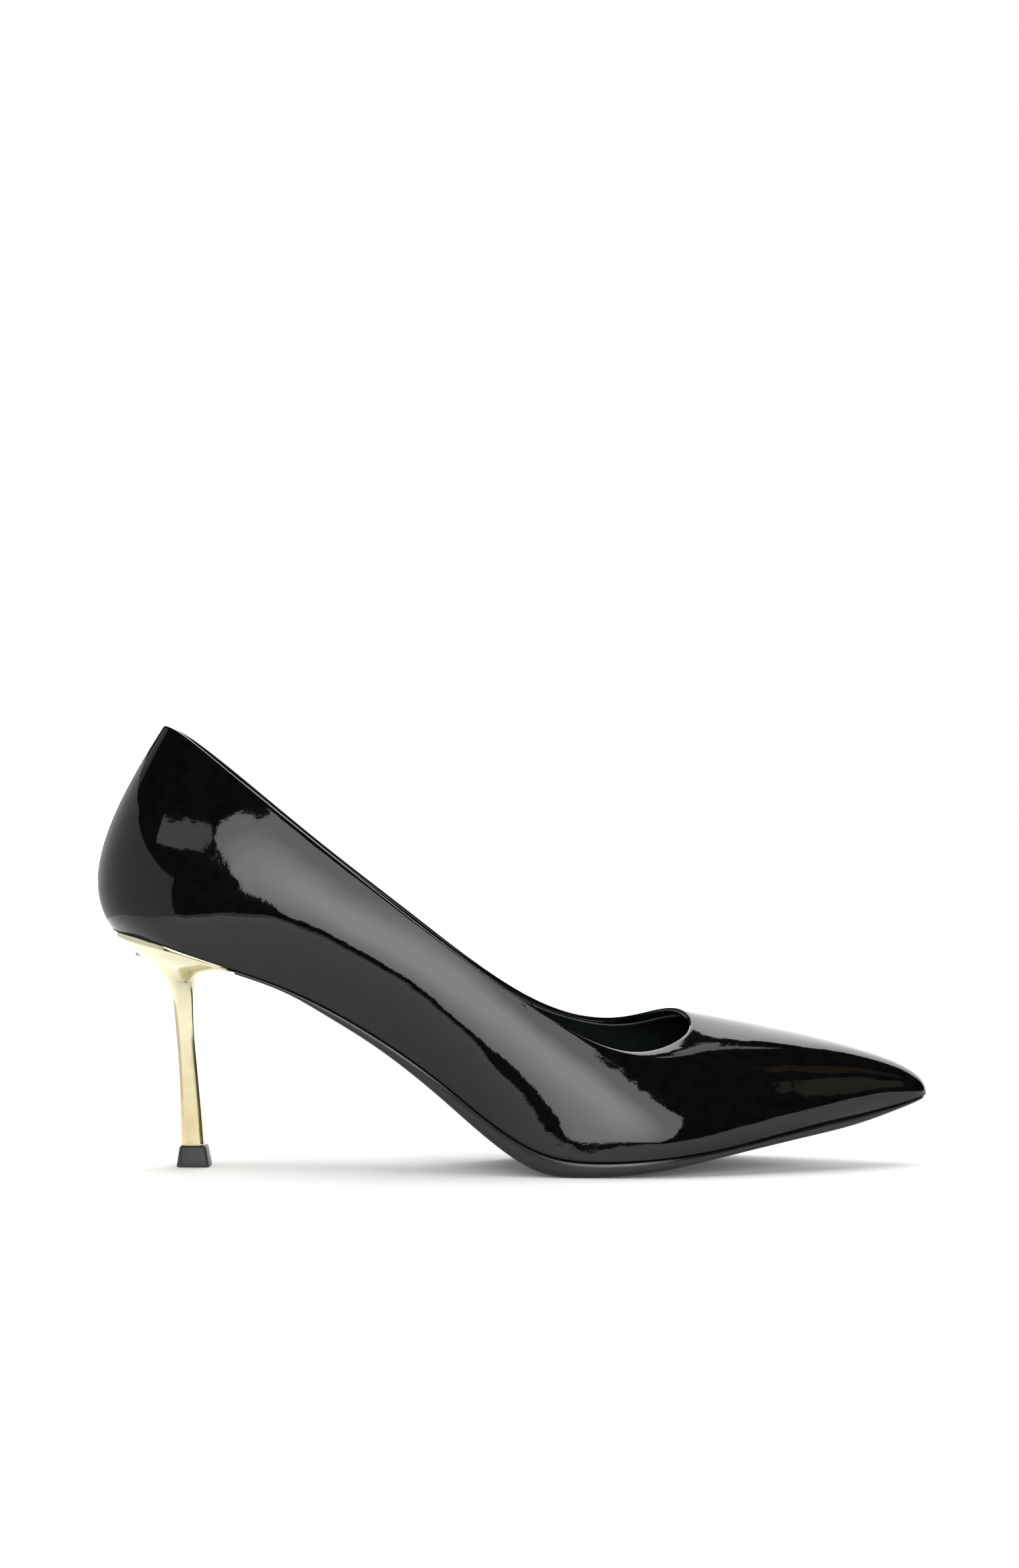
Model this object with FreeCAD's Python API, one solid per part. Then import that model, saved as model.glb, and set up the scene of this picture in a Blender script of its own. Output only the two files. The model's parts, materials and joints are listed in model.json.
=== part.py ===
"""A pointed high heel pump, right foot, size EU 37, built up piece by piece on one last shape.

X runs from heel to toe, Y from the outer (lateral) side to the inner (medial) side, Z is up.
The origin is on the ground, under the middle of the shoe. All sizes are in millimetres.
Lengths along the shoe are measured from the back of the heel and moved to the origin on export.
"""
import FreeCAD
import Part
import math
import os

Vec = FreeCAD.Vector
TURN = 2 * math.pi

# ---------------------------------------------------------------- driving dimensions
MIDDLE_X = 123.4            # from the back of the heel to the middle of the shoe
SEAT_BACK_X = 4.2           # rearmost point of the feather line, where upper meets heel
TOE_TIP_X = 247.2           # foremost point of the feather line
TOE_TIP_Y = 4.0             # the tip lies towards the big toe
TOPLINE_BACK_X = 19.5       # top of the back seam
THROAT_X = 176.0            # front of the foot opening

UPPER_THICK = 1.1           # patent leather with its backing
STIFFENER_THICK = 0.6       # counter, interlining and toe puff
LINING_THICK = 0.7
LAYER_GAP = 0.05            # glue line between two layers
FIT_GAP = 0.02              # clearance between parts that touch
FOLD_WIDTH = 3.0            # folded edge along the topline, seen from inside
FOLD_THICK = 2.1            # upper folded over on itself, with its glue
TAPE_WIDTH = 4.0            # reinforcing tape below the folded edge
LASTING_MARGIN = 11.0       # width of upper pulled under the insole
LOWER_EDGE = 0.10           # where linings and stiffeners start, as a share of wall height
COUNTER_TOP = 0.80          # top of the heel counter, as a share of wall height
PUFF_TOP = 0.50             # top of the toe puff, as a share of wall height
PUFF_BUTT = 0.01            # from there to the vamp interlining above it
GRIP_END = 38               # degrees round from the back seam where the heel grip ends
COUNTER_END = 72            # where the heel counter ends
SIDE_LINING_END = 112       # where the side linings meet the vamp lining
INTERLINING_END = 132       # where the side interlinings meet the toe puff
LINING_BUTT = 0.5           # degrees between the ends of two layers that meet

BOARD_THICK = 2.0           # insole board and shank board
FOAM_THICK = 1.5
INSOCK_THICK = 0.8
SOCK_GAP = 0.1              # between the edge of the insock and the lining
BOARD_INSET = 1.9           # board edge inside the feather line
BOARD_JOINT_GAP = 0.2
FILLER_GAP = 0.4            # between the bottom filler and the lasting margin round it
BOARD_JOINT_X = 118.0       # the stiff rear board meets the flexible front board
SOLE_INSET = 0.5            # outsole edge inside the feather line

SHANK_BACK_X = 17.0
SHANK_FRONT_X = 112.0
SHANK_WIDTH = 9.0
SHANK_THICK = 1.0
SHANK_Y = -1.0
RIVET_X = (50.0, 102.0)
RIVET_RADIUS = 1.5
RIVET_HEAD_RADIUS = 2.8
RIVET_HEAD_THICK = 0.6
RIVET_SHORT = 0.1           # how far a rivet stays short of the outer face

HEEL_LIP_X = 42.0           # the sole starts where the heel's front lip ends
LIFT_HEIGHT = 6.1
LIFT_TOP = (24.1, 32.2, 4.9)        # back x, front x and half width
LIFT_BOTTOM = (23.2, 33.3, 5.6)
LIFT_SQUARENESS = 6.0
PIN_RADIUS = 2.2            # steel tube that stiffens the stem
PIN_BORE_RADIUS = 1.3
PIN_LENGTH = 44.0
PIN_START_HEIGHT = 8.0
DOWEL_RADIUS = 1.25         # dowel that holds the top lift
DOWEL_LENGTH = 13.0
DOWEL_START_HEIGHT = 2.0
SCREW_X = 24.0
SCREW_RADIUS = 1.9
SCREW_HEAD_RADIUS = 3.4
SCREW_HEAD_THICK = 1.0
SCREW_LENGTH = 13.0
NAIL_PLACES = ((13.5, -9.0), (13.5, 9.0), (31.0, -11.0), (31.0, 11.0))
NAIL_RADIUS = 0.7
NAIL_HEAD_RADIUS = 1.7
NAIL_HEAD_THICK = 0.5
NAIL_LENGTH = 9.0

RING_STEPS = 64             # points around the shoe for each wall surface
WALL_STEPS = 12             # points from feather line to topline
FOLD_STEPS = 3              # points across the folded edge and the lasting margin's rim
TALL = 150                  # more than the height of the shoe
WIDE = 60                   # more than half its width


# ---------------------------------------------------------------- smooth curves
def curve_through(points):
    """Natural cubic curve y(x) through (x, y) points, carried straight on past its ends."""
    xs = [p[0] for p in points]
    ys = [p[1] for p in points]
    last = len(xs) - 1
    bend = [0.0] * (last + 1)
    share = [0.0] * (last + 1)
    for i in range(1, last):
        before = xs[i] - xs[i - 1]
        after = xs[i + 1] - xs[i]
        load = 6 * ((ys[i + 1] - ys[i]) / after - (ys[i] - ys[i - 1]) / before)
        pivot = 2 * (before + after) - before * share[i - 1]
        share[i] = after / pivot
        bend[i] = (load - before * bend[i - 1]) / pivot
    for i in range(last - 1, 0, -1):
        bend[i] -= share[i] * bend[i + 1]

    def value(x):
        i = 0
        while i < last - 1 and x > xs[i + 1]:
            i += 1
        step = xs[i + 1] - xs[i]
        slope = (ys[i + 1] - ys[i]) / step
        if x < xs[0]:
            return ys[0] + (slope - step * bend[1] / 6) * (x - xs[0])
        if x > xs[last]:
            return ys[last] + (slope + step * bend[last - 1] / 6) * (x - xs[last])
        near = x - xs[i]
        far = xs[i + 1] - x
        curved = (bend[i] * far ** 3 + bend[i + 1] * near ** 3) / (6 * step)
        straight = (ys[i] / step - bend[i] * step / 6) * far
        return curved + straight + (ys[i + 1] / step - bend[i + 1] * step / 6) * near

    return value


def ring_through(values):
    """Closed smooth curve through values at equal steps of angle."""
    count = len(values)
    curve = curve_through([(k, values[k % count]) for k in range(-count, 2 * count + 1)])
    return lambda angle: curve(angle / TURN * count % count)


# ---------------------------------------------------------------- shape of the last
# An angle goes round the shoe: 0 is the back seam, half a turn is the toe, and the first half
# is the lateral side. Each ring has stations every sixteenth of a turn.
def forward(angle):
    """Share of a ring's length reached at an angle."""
    return (1 - math.cos(angle)) / 2


def ring(back, front, lateral_y, medial_y, lateral_z, medial_z):
    """A closed control ring from its back and front points and seven stations on each side."""
    y_at = ring_through([back[1]] + [-y for y in lateral_y] + [front[1]] + medial_y[::-1])
    z_at = ring_through([back[2]] + lateral_z + [front[2]] + medial_z[::-1])
    return lambda angle: (back[0] + (front[0] - back[0]) * forward(angle), y_at(angle), z_at(angle))


feather_height = curve_through([
    (4.2, 70.6), (13, 69.0), (22, 66.6), (33, 62.8), (43, 59.4), (57, 54.2), (80, 42.3), (104, 25.8),
    (120, 13.6), (132, 7.2), (146, 4.9), (165, 5.6), (185, 8.0), (210, 13.0), (230, 17.0), (247.2, 21.0)])
lateral_fullness = curve_through([
    (4.2, 50), (14, 48), (40, 34.4), (60, 26.6), (80, 24), (102, 25.5), (126, 33.5),
    (148, 38), (172, 38.1), (190, 32.6), (212, 24.6), (236, 20.4), (247.2, 22)])
medial_fullness = curve_through([
    (4.2, 50), (14, 48), (40, 33.8), (60, 23.6), (80, 18.2), (102, 17), (126, 25),
    (148, 33.8), (172, 38), (190, 34), (212, 25), (236, 20.4), (247.2, 22)])


def centre_line(x):
    """The long axis of the sole swings gently to the tip."""
    return TOE_TIP_Y * (x / TOE_TIP_X) ** 3


def feather(angle, inset=0.0, inward=0.0):
    """Point on the feather line; inset moves it in at right angles, inward pulls it to the axis."""
    x = SEAT_BACK_X + (TOE_TIP_X - SEAT_BACK_X) * forward(angle)
    sine = math.sin(angle)
    full = lateral_fullness(x) if sine >= 0 else medial_fullness(x)
    y = centre_line(x) - (full - inward) * sine
    x += inward * math.cos(angle)
    if inset:
        step = 0.002
        ahead = feather(angle + step)
        behind = feather(angle - step)
        along_x = ahead[0] - behind[0]
        along_y = ahead[1] - behind[1]
        length = math.hypot(along_x, along_y)
        x -= inset * along_y / length
        y += inset * along_x / length
    return (x, y, feather_height(x))


lower_ring = ring(
    (-8.5, 0, 86), (250.0, 4.0, 33.0),
    [25.5, 30.1, 30.6, 32.3, 37.8, 24.5, 7.6], [25.5, 31, 26.5, 29, 37.6, 27, 12.5],
    [85, 77, 60, 32.6, 14.1, 15.3, 28.8], [85, 77.5, 60, 31, 14.5, 18, 30])
upper_ring = ring(
    (7.0, 0, 112), (205.0, 2.5, 40.5),
    [15, 26.3, 30.7, 30, 31.4, 29.5, 14.6], [15, 26.5, 28, 28, 32.5, 30.5, 18.5],
    [110, 97, 76.1, 55.9, 35.4, 29.9, 36], [110, 97, 78, 54, 36.5, 34.5, 41])
topline = ring(
    (TOPLINE_BACK_X, 0, 131.9), (THROAT_X, -3.0, 43.2),
    [11.5, 19.5, 23.5, 26.5, 28.8, 28.5, 16.5], [11.5, 19.5, 23, 25, 27, 27.5, 13.5],
    [129, 116, 95.6, 71.9, 50.0, 36.9, 37.9], [128.6, 115.2, 94.2, 70.8, 49.6, 42.8, 46.6])


def wall(angle, height):
    """Outer face of the upper: height 0 is the feather line, 1 the topline."""
    low = 1 - height
    weights = (low ** 3, 3 * height * low ** 2, 3 * height ** 2 * low, height ** 3)
    rings = (feather(angle), lower_ring(angle), upper_ring(angle), topline(angle))
    return Vec(*[sum(w * r[i] for w, r in zip(weights, rings)) for i in range(3)])


def inside(angle, height, depth):
    """Point at a depth under the outer face, measured along its normal."""
    point = wall(angle, height)
    if depth == 0:
        return point
    step = 0.002
    along = wall(angle + step, height) - wall(angle - step, height)
    up = wall(angle, height + step) - wall(angle, height - step)
    normal = up.cross(along).normalize()
    return point + normal * depth


def height_below_topline(angle, distance):
    """Height at a distance below the topline, measured down the wall."""
    step = 0.01
    return 1 - distance * step / (topline_point(angle) - wall(angle, 1 - step)).Length


def topline_point(angle):
    return wall(angle, 1)


# ---------------------------------------------------------------- solids from skins
def skin(rows):
    """Smooth surface through rows of points."""
    surface = Part.BSplineSurface()
    surface.interpolate(rows)
    return surface


def half_skins(point_at, steps):
    """A skin that goes all the way round, cut in two at the seam and the toe so that it can be sewn."""
    overlap = 4
    rows = []
    for i in range(-overlap, RING_STEPS + overlap + 1):
        angle = TURN * i / RING_STEPS
        rows.append([point_at(angle, j / steps) for j in range(steps + 1)])
    whole = skin(rows)
    v0, v1 = whole.bounds()[2:]
    knots = whole.getUKnots()
    cuts = [knots[overlap + share * RING_STEPS // 2] for share in range(3)]
    halves = []
    for start, end in zip(cuts, cuts[1:]):
        part = whole.copy()
        part.segment(start, end, v0, v1)
        halves.append(part)
    return halves


def edge_at(surface, side):
    """One border of a skin as an edge: low or high in either direction."""
    u0, u1, v0, v1 = surface.bounds()
    curves = {"start": lambda: surface.uIso(u0), "end": lambda: surface.uIso(u1),
              "bottom": lambda: surface.vIso(v0), "top": lambda: surface.vIso(v1)}
    return curves[side]().toShape()


def sewn_solid(faces):
    """Closed solid from faces that share their borders."""
    shell = Part.Compound(faces)
    shell.sewShape()
    solid = Part.Solid(shell.Shells[0])
    if solid.Volume < 0:
        solid.reverse()
    return solid


def layer(start, end, bottom, top, outer_depth, inner_depth):
    """A curved sheet of the wall between two angles and two heights (functions of the angle)."""
    columns = max(4, round(abs(end - start) / TURN * RING_STEPS))
    skins = []
    for depth in (outer_depth, inner_depth):
        rows = []
        for i in range(columns + 1):
            angle = start + (end - start) * i / columns
            low, high = bottom(angle), top(angle)
            rows.append([inside(angle, low + (high - low) * j / WALL_STEPS, depth)
                         for j in range(WALL_STEPS + 1)])
        skins.append(skin(rows))
    faces = [s.toShape() for s in skins]
    for side in ("start", "end", "bottom", "top"):
        faces.append(Part.makeRuledSurface(edge_at(skins[0], side), edge_at(skins[1], side), 1))
    return sewn_solid(faces)


def outline_face(points):
    """Flat face inside a closed smooth outline."""
    curve = Part.BSplineCurve()
    curve.interpolate(Points=points, PeriodicFlag=True)
    return Part.Face(Part.Wire(curve.toShape()))


def profile_curve(height, shift, back_x, front_x):
    """Side view line through a height curve, moved square to itself by shift."""
    count = 40
    points = []
    for i in range(count + 1):
        x = back_x + (front_x - back_x) * i / count
        slope = (height(x + 0.1) - height(x - 0.1)) / 0.2
        size = math.hypot(1, slope)
        points.append(Vec(x - shift * slope / size, 0, height(x) + shift / size))
    curve = Part.BSplineCurve()
    curve.interpolate(Points=points)
    return curve


def ribbon(lower, upper):
    """Band between two side view lines, as wide as the shoe."""
    face = Part.makeRuledSurface(lower.toShape(), upper.toShape())
    face.translate(Vec(0, -WIDE, 0))
    return face.extrude(Vec(0, 2 * WIDE, 0))


def sheet(outline, low_shift, high_shift, back_x, front_x):
    """Board or sock that follows the bottom of the last, trimmed to an outline seen from above."""
    band = ribbon(profile_curve(feather_height, low_shift, back_x, front_x),
                  profile_curve(feather_height, high_shift, back_x, front_x))
    block = outline_face(outline).extrude(Vec(0, 0, TALL))
    return band.common(block).Solids[0]


def ring_points(point_at):
    """Outline seen from above, from a function of the angle."""
    points = []
    for i in range(RING_STEPS):
        x, y, _ = point_at(TURN * i / RING_STEPS)
        points.append(Vec(x, y, 0))
    return points


# ---------------------------------------------------------------- upper and its layers
def make_upper():
    """Outer wall, folded topline edge and lasting margin, in one piece of leather."""
    def band_edge(angle):
        return height_below_topline(angle, FOLD_WIDTH)

    def rim_point(angle, share):
        x, y, z = feather(angle, inward=LASTING_MARGIN)
        return Vec(x, y, z + UPPER_THICK * share)

    outer = half_skins(wall, WALL_STEPS)
    fold = half_skins(lambda a, t: inside(a, band_edge(a) + (1 - band_edge(a)) * t, FOLD_THICK),
                      FOLD_STEPS)
    inner = half_skins(lambda a, t: inside(a, band_edge(a) * t, UPPER_THICK), WALL_STEPS)
    rim = half_skins(rim_point, FOLD_STEPS)
    seams = ((outer, "top", fold, "top"), (fold, "bottom", inner, "top"),
             (inner, "bottom", rim, "top"), (outer, "bottom", rim, "bottom"))
    faces = []
    for half in range(2):
        faces += [skins[half].toShape() for skins in (outer, fold, inner, rim)]
        for first, first_side, second, second_side in seams:
            faces.append(Part.makeRuledSurface(edge_at(first[half], first_side),
                                               edge_at(second[half], second_side), 1))
    return sewn_solid(faces)


def make_wall_layers():
    """Stiffeners between upper and lining, then the linings."""
    stiff_out = UPPER_THICK + LAYER_GAP
    stiff_in = stiff_out + STIFFENER_THICK
    lining_out = stiff_in + LAYER_GAP
    lining_in = lining_out + LINING_THICK
    gap = 0.2

    def low(_):
        return LOWER_EDGE

    def under_fold(angle):
        return height_below_topline(angle, FOLD_WIDTH + gap)

    def under_tape(angle):
        return height_below_topline(angle, FOLD_WIDTH + TAPE_WIDTH + 2 * gap)

    def fixed(height):
        return lambda _: height

    def stiffener(start, end, bottom, top):
        return layer(math.radians(start), math.radians(end), bottom, top, stiff_out, stiff_in)

    def lining(start, end):
        return layer(math.radians(start), math.radians(end), low, under_fold, lining_out, lining_in)

    def above_tape_bottom(angle):
        return height_below_topline(angle, FOLD_WIDTH + TAPE_WIDTH)

    side_start = COUNTER_END + LINING_BUTT
    puff_start = INTERLINING_END + LINING_BUTT
    vamp_start = SIDE_LINING_END + LINING_BUTT
    tape_end = 2
    return {
        "topline_tape": stiffener(tape_end, 360 - tape_end, above_tape_bottom, under_fold),
        "heel_counter": stiffener(-COUNTER_END, COUNTER_END, low, fixed(COUNTER_TOP)),
        "interlining_lateral": stiffener(side_start, INTERLINING_END, low, under_tape),
        "interlining_medial": stiffener(360 - INTERLINING_END, 360 - side_start, low, under_tape),
        "toe_puff": stiffener(puff_start, 360 - puff_start, low, fixed(PUFF_TOP)),
        "vamp_interlining": stiffener(puff_start, 360 - puff_start, fixed(PUFF_TOP + PUFF_BUTT), under_tape),
        "heel_grip": lining(-GRIP_END, GRIP_END),
        "quarter_lining_lateral": lining(GRIP_END + LINING_BUTT, SIDE_LINING_END),
        "quarter_lining_medial": lining(360 - SIDE_LINING_END, 360 - GRIP_END - LINING_BUTT),
        "vamp_lining": lining(vamp_start, 360 - vamp_start),
    }


# ---------------------------------------------------------------- bottom of the shoe
def make_bottom():
    board_low = UPPER_THICK + LAYER_GAP
    board_high = board_low + BOARD_THICK
    foam_high = board_high + FOAM_THICK
    board_outline = ring_points(lambda a: feather(a, inset=BOARD_INSET))
    depth = UPPER_THICK + STIFFENER_THICK + LINING_THICK + 4 * LAYER_GAP + SOCK_GAP
    sock_outline = ring_points(lambda a: inside(a, LOWER_EDGE, depth))
    filler_outline = ring_points(lambda a: feather(a, inward=LASTING_MARGIN + FILLER_GAP))
    back, front = SEAT_BACK_X - 3, TOE_TIP_X + 3
    return {
        "shank_board": sheet(board_outline, board_low, board_high, back, BOARD_JOINT_X - BOARD_JOINT_GAP),
        "insole_board": sheet(board_outline, board_low, board_high, BOARD_JOINT_X, front),
        "insock_foam": sheet(sock_outline, board_high, foam_high, back, front),
        "insock": sheet(sock_outline, foam_high, foam_high + INSOCK_THICK, back, front),
        "bottom_filler": sheet(filler_outline, FIT_GAP, UPPER_THICK, SHANK_FRONT_X + 1, front),
    }


sole_height = curve_through([
    (42, 58.2), (58.6, 51.7), (68.6, 45.9), (81, 38.2), (93, 29.5), (102, 22.2), (111, 14.6), (117, 9.8),
    (124, 4.9), (131, 1.4), (138, 0.1), (146, 0), (156, 0.5), (167, 1.8), (182, 4.6), (210, 9.8),
    (226, 13.1), (238.5, 17.0), (247.2, 20.0)])


def make_outsole():
    """Leather outsole from the heel's lip to the toe, thickest under the ball."""
    upper_line = profile_curve(feather_height, -FIT_GAP, HEEL_LIP_X, TOE_TIP_X + 2)
    lower_line = profile_curve(sole_height, 0, HEEL_LIP_X, TOE_TIP_X + 2)
    outline = ring_points(lambda a: feather(a, inset=SOLE_INSET))
    block = outline_face(outline).extrude(Vec(0, 0, TALL))
    block.translate(Vec(0, 0, -TALL / 10))
    return ribbon(lower_line, upper_line).common(block).Solids[0]


def make_shank():
    """Spring steel strip under the arch, with holes for its rivets and the heel screw."""
    half = SHANK_WIDTH / 2
    round_end = half
    corners = [Vec(SHANK_BACK_X + round_end, SHANK_Y - half, 0),
               Vec(SHANK_FRONT_X - round_end, SHANK_Y - half, 0),
               Vec(SHANK_FRONT_X - round_end, SHANK_Y + half, 0),
               Vec(SHANK_BACK_X + round_end, SHANK_Y + half, 0)]
    wire = Part.Wire([
        Part.makeLine(corners[0], corners[1]),
        Part.Arc(corners[1], Vec(SHANK_FRONT_X, SHANK_Y, 0), corners[2]).toShape(),
        Part.makeLine(corners[2], corners[3]),
        Part.Arc(corners[3], Vec(SHANK_BACK_X, SHANK_Y, 0), corners[0]).toShape()])
    block = Part.Face(wire).extrude(Vec(0, 0, TALL))
    back, front = SHANK_BACK_X - 2, SHANK_FRONT_X + 2
    band = ribbon(profile_curve(feather_height, LAYER_GAP, back, front),
                  profile_curve(feather_height, LAYER_GAP + SHANK_THICK, back, front))
    return band.common(block).Solids[0]


# ---------------------------------------------------------------- heel
# Sections of the heel from the top lift to above the seat: back x, back z, front x, front z,
# half width, and how square the back and the front of the section are (2 is an ellipse).
HEEL_SECTIONS = (
    (24.4, 6.1, 31.7, 6.1, 4.6, 4.5, 4.5),
    (24.2, 16.0, 30.9, 16.0, 4.3, 4.5, 4.5),
    (23.8, 28.0, 29.8, 28.0, 4.1, 4.5, 4.5),
    (23.1, 38.0, 28.9, 38.0, 4.1, 4.5, 4.5),
    (22.4, 46.0, 28.6, 46.0, 4.4, 4.2, 4.2),
    (21.8, 50.5, 28.6, 51.6, 5.2, 3.6, 4.0),
    (20.4, 54.6, 29.1, 55.0, 7.0, 3.0, 3.8),
    (18.0, 57.9, 31.2, 56.9, 10.2, 2.6, 3.8),
    (13.5, 61.9, 36.0, 57.6, 15.4, 2.3, 4.5),
    (8.6, 65.7, 40.2, 58.0, 19.8, 2.2, 6.0),
    (5.2, 69.3, 42.0, 58.6, 22.6, 2.2, 8.0),
    (4.6, 74.0, 42.2, 63.0, 23.4, 2.2, 8.0))


def heel_section(back_x, back_z, front_x, front_z, half_width, back_square, front_square):
    """Closed outline in the plane through a back and a front point, square across the shoe."""
    count = 48
    middle = Vec((back_x + front_x) / 2, 0, (back_z + front_z) / 2)
    half_chord = Vec(front_x - back_x, 0, front_z - back_z) * 0.5
    points = []
    for i in range(count):
        angle = TURN * (i + 0.5) / count
        cosine, sine = math.cos(angle), math.sin(angle)
        power = 2 / (front_square if cosine > 0 else back_square)
        along = math.copysign(abs(cosine) ** power, cosine)
        across = math.copysign(abs(sine) ** power, sine)
        points.append(middle + half_chord * along + Vec(0, half_width * across, 0))
    curve = Part.BSplineCurve()
    curve.interpolate(Points=points, PeriodicFlag=True)
    return Part.Wire(curve.toShape())


def stem_axis():
    """A point at ground level under the stem and the direction up its middle."""
    low, high = HEEL_SECTIONS[0], HEEL_SECTIONS[4]
    bottom = Vec((low[0] + low[2]) / 2, 0, low[1])
    top = Vec((high[0] + high[2]) / 2, 0, high[1])
    direction = (top - bottom).normalize()
    return bottom - direction * (bottom.z / direction.z), direction


def seat_normal(x):
    slope = (feather_height(x + 1) - feather_height(x - 1)) / 2
    return Vec(-slope, 0, 1).normalize()


def headed_fastener(place, head_radius, head_thick, radius, length, clearance=0.0):
    """Fastener let in flush with the shank board at (x, y); a clearance gives its hole instead."""
    x, y = place
    up = seat_normal(x)
    flush = 0.06
    board_top = Vec(x, y, feather_height(x)) + up * (UPPER_THICK + LAYER_GAP + BOARD_THICK - flush)
    above = 1.0 if clearance else 0.0
    top = board_top + up * above
    head = Part.makeCylinder(head_radius + clearance, head_thick + above, top, up * -1)
    shaft = Part.makeCylinder(radius + clearance, length + above, top, up * -1)
    return head.fuse(shaft).removeSplitter()


def fasteners(clearance=0.0):
    """Heel screw, heel nails and shank rivets, or the holes for them."""
    screw = headed_fastener((SCREW_X, SHANK_Y), SCREW_HEAD_RADIUS, SCREW_HEAD_THICK,
                            SCREW_RADIUS, SCREW_LENGTH, clearance)
    nails = [headed_fastener(place, NAIL_HEAD_RADIUS, NAIL_HEAD_THICK,
                             NAIL_RADIUS, NAIL_LENGTH, clearance) for place in NAIL_PLACES]
    rivet_length = UPPER_THICK + BOARD_THICK - RIVET_SHORT
    rivets = [headed_fastener((x, SHANK_Y), RIVET_HEAD_RADIUS, RIVET_HEAD_THICK,
                              RIVET_RADIUS, rivet_length, clearance) for x in RIVET_X]
    return screw, Part.Compound(nails), Part.Compound(rivets)


def make_heel():
    loft = Part.makeLoft([heel_section(*section) for section in HEEL_SECTIONS], True, False)
    back, front, high = -5, 50, 25
    above = ribbon(profile_curve(feather_height, -FIT_GAP, back, front),
                   profile_curve(feather_height, high, back, front))
    return loft.cut(above).Solids[0]


def make_top_lift():
    """Hard wearing block under the stem, flared towards the ground."""
    sections = []
    for z, (back_x, front_x, half_width) in ((0, LIFT_BOTTOM), (LIFT_HEIGHT - FIT_GAP, LIFT_TOP)):
        sections.append(heel_section(back_x, z, front_x, z, half_width, LIFT_SQUARENESS, LIFT_SQUARENESS))
    return Part.makeLoft(sections, True, True)


def make_parts():
    parts = {"upper": make_upper(), "outsole": make_outsole(), "shank": make_shank()}
    parts.update(make_wall_layers())
    parts.update(make_bottom())

    ground, up = stem_axis()

    def on_stem(height):
        return ground + up * (height / up.z)

    tube = Part.makeCylinder(PIN_RADIUS, PIN_LENGTH, on_stem(PIN_START_HEIGHT), up)
    bore = Part.makeCylinder(PIN_BORE_RADIUS, PIN_LENGTH, on_stem(PIN_START_HEIGHT), up)
    pin_hole = Part.makeCylinder(PIN_RADIUS + FIT_GAP, PIN_LENGTH + PIN_START_HEIGHT, ground, up)
    dowel = Part.makeCylinder(DOWEL_RADIUS, DOWEL_LENGTH, on_stem(DOWEL_START_HEIGHT), up)
    parts["heel_pin"] = tube.cut(bore)
    parts["top_lift_pin"] = dowel
    parts["top_lift"] = make_top_lift().cut(dowel)

    screw_hole, nail_holes, rivet_holes = fasteners(clearance=FIT_GAP)
    parts["heel"] = make_heel().cut(pin_hole).cut(screw_hole).cut(nail_holes)
    parts["shank_board"] = parts["shank_board"].cut(screw_hole).cut(nail_holes).cut(rivet_holes)
    parts["shank"] = parts["shank"].cut(screw_hole).cut(rivet_holes)
    parts["upper"] = parts["upper"].cut(nail_holes)
    parts["heel_screw"], parts["heel_nails"], parts["shank_rivets"] = fasteners()
    return parts


def main():
    os.makedirs("parts", exist_ok=True)
    for name, shape in make_parts().items():
        shape = shape.copy()
        shape.translate(Vec(-MIDDLE_X, 0, 0))
        shape.exportStep(os.path.join("parts", name + ".step"))
        box = shape.BoundBox
        print("%-24s solids %d valid %s volume %9.1f  x %.1f..%.1f y %.1f..%.1f z %.1f..%.1f" % (
            name, len(shape.Solids), shape.isValid(), shape.Volume,
            box.XMin, box.XMax, box.YMin, box.YMax, box.ZMin, box.ZMax))


main()
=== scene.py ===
import json
import math

import bmesh
import bpy
import numpy as np
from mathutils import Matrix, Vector


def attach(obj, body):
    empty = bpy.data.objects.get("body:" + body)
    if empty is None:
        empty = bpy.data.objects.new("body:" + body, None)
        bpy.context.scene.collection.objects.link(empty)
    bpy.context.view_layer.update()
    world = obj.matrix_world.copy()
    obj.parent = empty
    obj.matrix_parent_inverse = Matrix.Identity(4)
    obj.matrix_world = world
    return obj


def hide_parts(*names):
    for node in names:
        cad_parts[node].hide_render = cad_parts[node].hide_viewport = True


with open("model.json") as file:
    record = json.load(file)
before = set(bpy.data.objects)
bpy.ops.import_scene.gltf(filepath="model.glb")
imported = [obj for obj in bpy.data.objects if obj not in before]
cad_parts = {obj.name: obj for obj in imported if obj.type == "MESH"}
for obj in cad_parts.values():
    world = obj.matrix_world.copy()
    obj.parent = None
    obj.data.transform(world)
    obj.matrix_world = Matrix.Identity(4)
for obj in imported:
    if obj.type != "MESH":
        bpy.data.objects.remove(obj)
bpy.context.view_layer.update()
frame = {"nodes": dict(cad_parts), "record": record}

MM = 0.001
TURN = 2 * math.pi


# ---------------------------------------------------------------- shape of the last, in millimetres
# The same control rings as the solid parts. x is measured from the back of the heel.
SEAT_BACK_X = 4.2
TOE_TIP_X = 247.2
TOE_TIP_Y = 4.0
TOPLINE_BACK_X = 19.5
THROAT_X = 176.0
UPPER_THICK = 1.1
STIFFENER_THICK = 0.6
LINING_THICK = 0.7
LAYER_GAP = 0.05
FOLD_WIDTH = 3.0
FOLD_THICK = 2.1
LASTING_MARGIN = 11.0
LOWER_EDGE = 0.10
BOARD_THICK = 2.0
FOAM_THICK = 1.5
INSOCK_THICK = 0.8
SOLE_INSET = 0.5            # outsole edge inside the feather line
SOLE_BEVEL = 1.9            # how far the rounded lower edge comes in
GROOVE = 0.5                # depth of the line between upper and outsole
HEEL_LIP_X = 42.0
LIFT_HEIGHT = 6.1
FIT_GAP = 0.02              # clearance between parts that touch


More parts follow.
